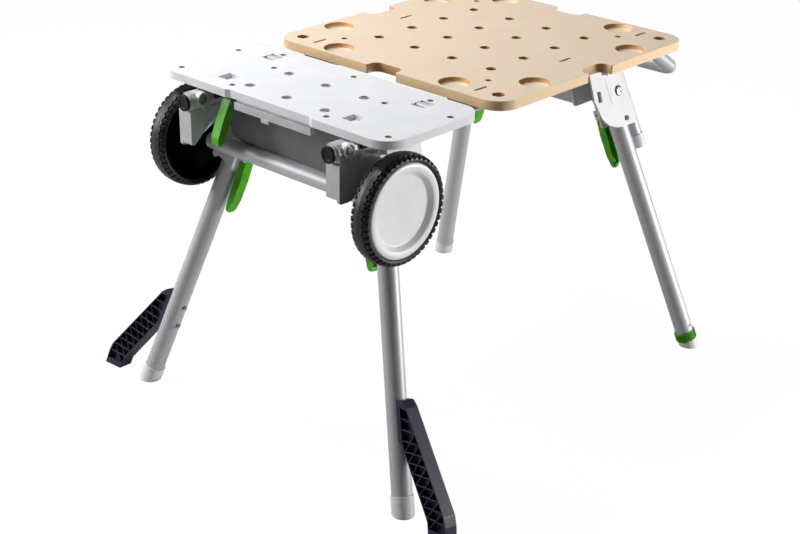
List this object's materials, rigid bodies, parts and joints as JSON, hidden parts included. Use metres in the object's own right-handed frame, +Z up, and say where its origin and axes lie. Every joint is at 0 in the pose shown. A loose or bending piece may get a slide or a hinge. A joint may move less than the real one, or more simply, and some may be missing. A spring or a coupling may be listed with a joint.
{
  "type": "folding saw stand",
  "caption": "Folding work stand with a pierced fibre board and a metal saw platform on a bent tube chassis, splayed fold-in legs, outriggers and transport wheels.",
  "frame": {"origin": "on the floor under the middle of the stand's outline", "axes": "+Z up, +X to the right of someone facing the saw platform end, +Y from the saw platform towards the carrying handle"},
  "size_m": [0.9458, 1.051, 0.67],
  "materials": {
    "fibre_board": "sealed fibre board",
    "platform_grey": "light grey paint",
    "satin_aluminium": "satin tube",
    "cast_light_grey": "light grey coated casting",
    "sheet_grey": "grey coated sheet",
    "black_plastic": "moulded",
    "tyre_rubber": "block tread",
    "green_plastic": "moulded",
    "foot_grey": "moulded",
    "rim_grey": "moulded",
    "outrigger_navy": "ribbed moulding",
    "zinc_steel": "zinc plated"
  },
  "bodies": {
    "frame": {"work_board": "fibre_board", "saw_platform": "platform_grey", "chassis_tube": "satin_aluminium", "tube_end_cap_left": "black_plastic", "tube_end_cap_right": "black_plastic", "board_saddle_front_left": "black_plastic", "board_saddle_front_right": "black_plastic", "board_saddle_rear_left": "black_plastic", "board_saddle_rear_right": "black_plastic", "platform_saddle_front_left": "black_plastic", "platform_saddle_front_right": "black_plastic", "platform_saddle_rear_left": "black_plastic", "platform_saddle_rear_right": "black_plastic", "leg_fork_front_left": "cast_light_grey", "leg_fork_front_right": "cast_light_grey", "leg_fork_rear_left": "cast_light_grey", "leg_fork_rear_right": "cast_light_grey", "hinge_bolt_front_left": "zinc_steel", "hinge_bolt_front_right": "zinc_steel", "hinge_bolt_rear_left": "zinc_steel", "hinge_bolt_rear_right": "zinc_steel", "rear_cross_member": "sheet_grey", "parking_foot_left": "satin_aluminium", "parking_foot_right": "satin_aluminium", "parking_foot_cap_left": "foot_grey", "parking_foot_cap_right": "foot_grey", "axle_beam": "satin_aluminium", "wheel_axle": "zinc_steel", "wheel_bracket_left": "cast_light_grey", "wheel_bracket_right": "cast_light_grey", "front_web": "sheet_grey", "front_rail": "cast_light_grey", "release_mount": "sheet_grey", "release_pin": "zinc_steel"},
    "front_left_leg": {"leg_front_left": "satin_aluminium", "foot_cap_front_left": "foot_grey", "outrigger_left": "outrigger_navy", "outrigger_bolt_upper_left": "zinc_steel", "outrigger_bolt_lower_left": "zinc_steel"},
    "front_right_leg": {"leg_front_right": "satin_aluminium", "foot_cap_front_right": "foot_grey", "outrigger_right": "outrigger_navy", "outrigger_bolt_upper_right": "zinc_steel", "outrigger_bolt_lower_right": "zinc_steel"},
    "rear_left_leg": {"leg_rear_left": "satin_aluminium", "foot_cap_rear_left": "foot_grey"},
    "rear_right_leg": {"leg_rear_right": "satin_aluminium"},
    "screw_ring": {"foot_ring": "green_plastic"},
    "screw_pad": {"foot_pad": "foot_grey"},
    "front_left_lever": {"lock_lever_front_left": "green_plastic"},
    "front_right_lever": {"lock_lever_front_right": "green_plastic"},
    "rear_left_lever": {"lock_lever_rear_left": "green_plastic"},
    "rear_right_lever": {"lock_lever_rear_right": "green_plastic"},
    "left_wheel": {"wheel_rim_left": "rim_grey", "wheel_tyre_left": "tyre_rubber"},
    "right_wheel": {"wheel_rim_right": "rim_grey", "wheel_tyre_right": "tyre_rubber"},
    "release": {"release_lever": "green_plastic"},
    "left_catch": {"catch_left": "foot_grey"},
    "right_catch": {"catch_right": "foot_grey"}
  },
  "joints": [
    {"name": "front_left_fold", "type": "hinge", "parent": "frame", "child": "front_left_leg", "pos_m": [-0.178, -0.3745, 0.557], "axis": [0.9542, 0, -0.2993], "range_deg": [0, 97.9]},
    {"name": "front_right_fold", "type": "hinge", "parent": "frame", "child": "front_right_leg", "pos_m": [0.178, -0.3745, 0.557], "axis": [0.9542, 0, 0.2993], "range_deg": [0, 97.9]},
    {"name": "rear_left_fold", "type": "hinge", "parent": "frame", "child": "rear_left_leg", "pos_m": [-0.178, 0.2835, 0.557], "axis": [-0.9542, 0, 0.2993], "range_deg": [0, 105.6]},
    {"name": "rear_right_fold", "type": "hinge", "parent": "frame", "child": "rear_right_leg", "pos_m": [0.178, 0.2835, 0.557], "axis": [-0.9542, 0, -0.2993], "range_deg": [0, 105.6]},
    {"name": "foot_ring_turn", "type": "hinge", "parent": "rear_right_leg", "child": "screw_ring", "pos_m": [0.35271, 0.4052, 0], "axis": [0.293, 0.2041, -0.9341], "range_deg": [0, 1080]},
    {"name": "foot_pad_travel", "type": "slide", "parent": "rear_right_leg", "child": "screw_pad", "axis": [0.293, 0.2041, -0.9341], "range_m": [0, 0.012]},
    {"name": "front_left_lock", "type": "hinge", "parent": "frame", "child": "front_left_lever", "pos_m": [-0.15827, -0.38368, 0.50464], "axis": [0.0611, -0.979, 0.1947], "range_deg": [0, 22], "stiffness_Nm_per_rad": 0.6},
    {"name": "front_right_lock", "type": "hinge", "parent": "frame", "child": "front_right_lever", "pos_m": [0.15827, -0.38368, 0.50464], "axis": [0.0611, 0.979, -0.1947], "range_deg": [0, 22], "stiffness_Nm_per_rad": 0.6},
    {"name": "rear_left_lock", "type": "hinge", "parent": "frame", "child": "rear_left_lever", "pos_m": [-0.15827, 0.29268, 0.50464], "axis": [-0.0611, -0.979, -0.1947], "range_deg": [0, 22], "stiffness_Nm_per_rad": 0.6},
    {"name": "rear_right_lock", "type": "hinge", "parent": "frame", "child": "rear_right_lever", "pos_m": [0.15827, 0.29268, 0.50464], "axis": [-0.0611, 0.979, 0.1947], "range_deg": [0, 22], "stiffness_Nm_per_rad": 0.6},
    {"name": "left_wheel_spin", "type": "hinge", "parent": "frame", "child": "left_wheel", "pos_m": [-0.2625, -0.4245, 0.5335], "axis": [1, 0, 0], "continuous": true},
    {"name": "right_wheel_spin", "type": "hinge", "parent": "frame", "child": "right_wheel", "pos_m": [0.2625, -0.4245, 0.5335], "axis": [1, 0, 0], "continuous": true},
    {"name": "release_pull", "type": "hinge", "parent": "frame", "child": "release", "pos_m": [-0.122, -0.4595, 0.64], "axis": [-1, 0, 0], "range_deg": [0, 46], "stiffness_Nm_per_rad": 0.3},
    {"name": "left_catch_slide", "type": "slide", "parent": "frame", "child": "left_catch", "axis": [0, 1, 0], "range_m": [0, 0.006]},
    {"name": "right_catch_slide", "type": "slide", "parent": "frame", "child": "right_catch", "axis": [0, 1, 0], "range_m": [0, 0.006]}
  ],
  "couplings": [
    {"joint": "foot_pad_travel", "follows": "foot_ring_turn", "m_per_rad": 0.0006366},
    {"joint": "left_catch_slide", "follows": "release_pull", "m_per_rad": 0.007473},
    {"joint": "right_catch_slide", "follows": "release_pull", "m_per_rad": 0.007473}
  ]
}
